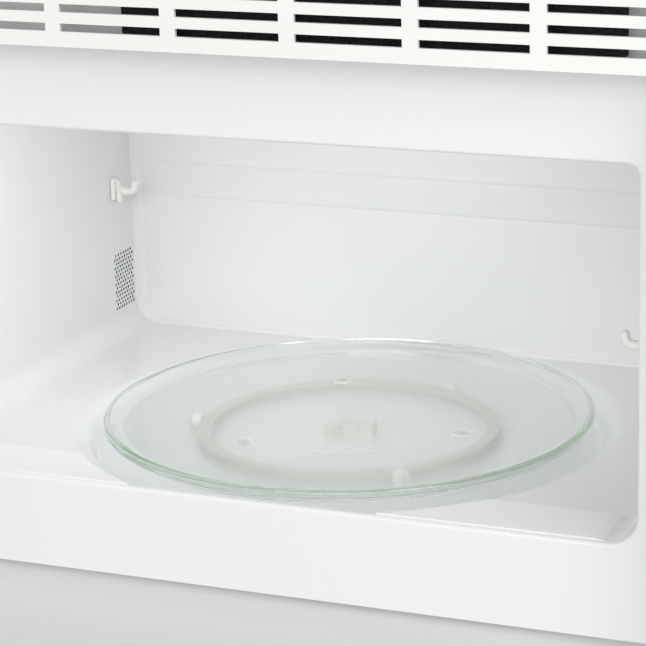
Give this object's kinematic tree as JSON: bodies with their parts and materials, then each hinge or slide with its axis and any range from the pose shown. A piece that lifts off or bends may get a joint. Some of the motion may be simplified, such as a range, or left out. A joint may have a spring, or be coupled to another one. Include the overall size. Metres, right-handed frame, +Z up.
{
  "type": "over the range microwave oven",
  "caption": "White over the range microwave oven with a left-hinged door stored open, glass turntable, vent grille, filters and top exhaust.",
  "frame": {"origin": "in the wall plane, on the back face of the wall plate, half way across the width and half way up the cabinet", "axes": "+X to the right seen from the front, +Y back into the wall, +Z up; the front faces -Y"},
  "size_m": [0.811, 0.9645, 0.4686],
  "materials": {
    "white_enamel_steel": "gloss",
    "cavity_enamel": "gloss",
    "galvanised_steel": "satin",
    "white_plastic": "satin",
    "ivory_plastic": "satin",
    "grey_plastic": "matte",
    "black_plastic": "matte",
    "natural_plastic": "satin",
    "turntable_glass": "polished",
    "door_glass": "polished",
    "clear_pane": "polished",
    "display_lens": "gloss",
    "keypad_film": "satin",
    "circuit_board": "satin",
    "screw_steel": "satin",
    "spring_steel": "polished",
    "mica": "satin",
    "aluminium": "satin",
    "copper_and_iron": "matte",
    "charcoal": "matte",
    "lamp_glass": "frosted"
  },
  "bodies": {
    "cabinet": {"mounting_plate": "galvanised_steel", "back_panel": "galvanised_steel", "cabinet_wrap": "white_enamel_steel", "base_plate": "white_enamel_steel", "base_screws": "screw_steel", "front_frame": "white_enamel_steel", "cavity_floor": "cavity_enamel", "cavity_wrap": "cavity_enamel", "cavity_back": "cavity_enamel", "rack_supports": "ivory_plastic", "waveguide_cover": "mica", "turntable_motor": "galvanised_steel", "hinge_brackets": "galvanised_steel", "interlock_bracket": "grey_plastic", "interlock_switches": "black_plastic", "control_panel": "white_plastic", "keypad": "keypad_film", "display_lens": "display_lens", "control_board": "circuit_board", "vent_grille": "white_plastic", "charcoal_filter": "charcoal", "lamp_housing": "galvanised_steel", "cooktop_lamps": "lamp_glass", "exhaust_adapter": "galvanised_steel", "blower_motor": "galvanised_steel", "blower_housings": "galvanised_steel", "compartment_shelf": "galvanised_steel", "waveguide": "galvanised_steel", "magnetron": "aluminium", "power_transformer": "copper_and_iron", "power_capacitor": "aluminium", "fan_shroud": "natural_plastic", "fan_motor": "galvanised_steel", "cord_gland": "black_plastic", "cavity_lamp_housing": "galvanised_steel", "cavity_lamp": "lamp_glass"},
    "door": {"door_frame": "white_plastic", "door_glass": "door_glass", "choke_panel": "white_enamel_steel", "choke_cover": "white_plastic", "inner_window": "clear_pane", "door_handle": "white_plastic", "handle_screws": "screw_steel", "latch_spring": "spring_steel"},
    "latch": {"latch_hooks": "natural_plastic"},
    "drive": {"drive_hub": "natural_plastic", "motor_shaft": "natural_plastic"},
    "turntable": {"turntable_glass": "turntable_glass"},
    "ring": {"roller_ring": "natural_plastic"},
    "wheel_1": {"roller_wheel_1": "natural_plastic"},
    "wheel_2": {"roller_wheel_2": "natural_plastic"},
    "wheel_3": {"roller_wheel_3": "natural_plastic"},
    "cooling_fan": {"fan_rotor": "natural_plastic"},
    "blower": {"blower_wheels": "black_plastic"},
    "damper": {"damper_flap": "aluminium"},
    "filter_left": {"grease_filter_left": "aluminium"},
    "filter_right": {"grease_filter_right": "aluminium"},
    "lamp_lid": {"lamp_cover": "lamp_glass"},
    "plunger_1": {"switch_plunger_1": "natural_plastic"},
    "plunger_2": {"switch_plunger_2": "natural_plastic"}
  },
  "joints": [
    {"name": "door_hinge", "type": "hinge", "parent": "cabinet", "child": "door", "pos_m": [-0.37, -0.3985, 0], "axis": [0, 0, 1], "range_deg": [-20, 90]},
    {"name": "latch_slide", "type": "slide", "parent": "door", "child": "latch", "axis": [0, 0, 1], "range_m": [0, 0.004], "stiffness_N_per_m": 250, "springref_m": -0.004, "deforming": ["latch_spring"]},
    {"name": "turntable_spin", "type": "hinge", "parent": "cabinet", "child": "drive", "pos_m": [-0.094, -0.199, 0], "axis": [0, 0, 1], "continuous": true},
    {"name": "glass_lift", "type": "slide", "parent": "drive", "child": "turntable", "axis": [0, 0, 1], "range_m": [0, 0.06]},
    {"name": "ring_spin", "type": "hinge", "parent": "cabinet", "child": "ring", "pos_m": [-0.094, -0.199, 0], "axis": [0, 0, 1], "continuous": true},
    {"name": "wheel_1_spin", "type": "hinge", "parent": "ring", "child": "wheel_1", "pos_m": [-0.20233, -0.2181, -0.15785], "axis": [-0.9848, -0.1736, 0], "continuous": true},
    {"name": "wheel_2_spin", "type": "hinge", "parent": "ring", "child": "wheel_2", "pos_m": [-0.02329, -0.28326, -0.15785], "axis": [0.6428, -0.766, 0], "continuous": true},
    {"name": "wheel_3_spin", "type": "hinge", "parent": "ring", "child": "wheel_3", "pos_m": [-0.05638, -0.09563, -0.15785], "axis": [0.342, 0.9397, 0], "continuous": true},
    {"name": "cooling_fan_spin", "type": "hinge", "parent": "cabinet", "child": "cooling_fan", "pos_m": [0.2381, -0.03, -0.02], "axis": [0, 1, 0], "continuous": true},
    {"name": "blower_spin", "type": "hinge", "parent": "cabinet", "child": "blower", "pos_m": [0, -0.072, 0.1561], "axis": [1, 0, 0], "continuous": true},
    {"name": "damper_swing", "type": "hinge", "parent": "cabinet", "child": "damper", "pos_m": [0, -0.0347, 0.222], "axis": [-1, 0, 0], "range_deg": [0, 60]},
    {"name": "filter_left_slide", "type": "slide", "parent": "cabinet", "child": "filter_left", "axis": [1, 0, 0], "range_m": [0, 0.007]},
    {"name": "filter_right_slide", "type": "slide", "parent": "cabinet", "child": "filter_right", "axis": [1, 0, 0], "range_m": [0, 0.007]},
    {"name": "lamp_cover_hinge", "type": "hinge", "parent": "cabinet", "child": "lamp_lid", "pos_m": [0, -0.296, -0.2116], "axis": [1, 0, 0], "range_deg": [0, 75]},
    {"name": "plunger_1_slide", "type": "slide", "parent": "cabinet", "child": "plunger_1", "axis": [0, 1, 0], "range_m": [0, 0.0015], "stiffness_N_per_m": 300, "springref_m": -0.002},
    {"name": "plunger_2_slide", "type": "slide", "parent": "cabinet", "child": "plunger_2", "axis": [0, 1, 0], "range_m": [0, 0.0015], "stiffness_N_per_m": 300, "springref_m": -0.002}
  ],
  "couplings": [
    {"joint": "ring_spin", "follows": "turntable_spin", "ratio": 0.5},
    {"joint": "wheel_1_spin", "follows": "turntable_spin", "ratio": -9.4017},
    {"joint": "wheel_2_spin", "follows": "turntable_spin", "ratio": -9.4017},
    {"joint": "wheel_3_spin", "follows": "turntable_spin", "ratio": -9.4017}
  ]
}
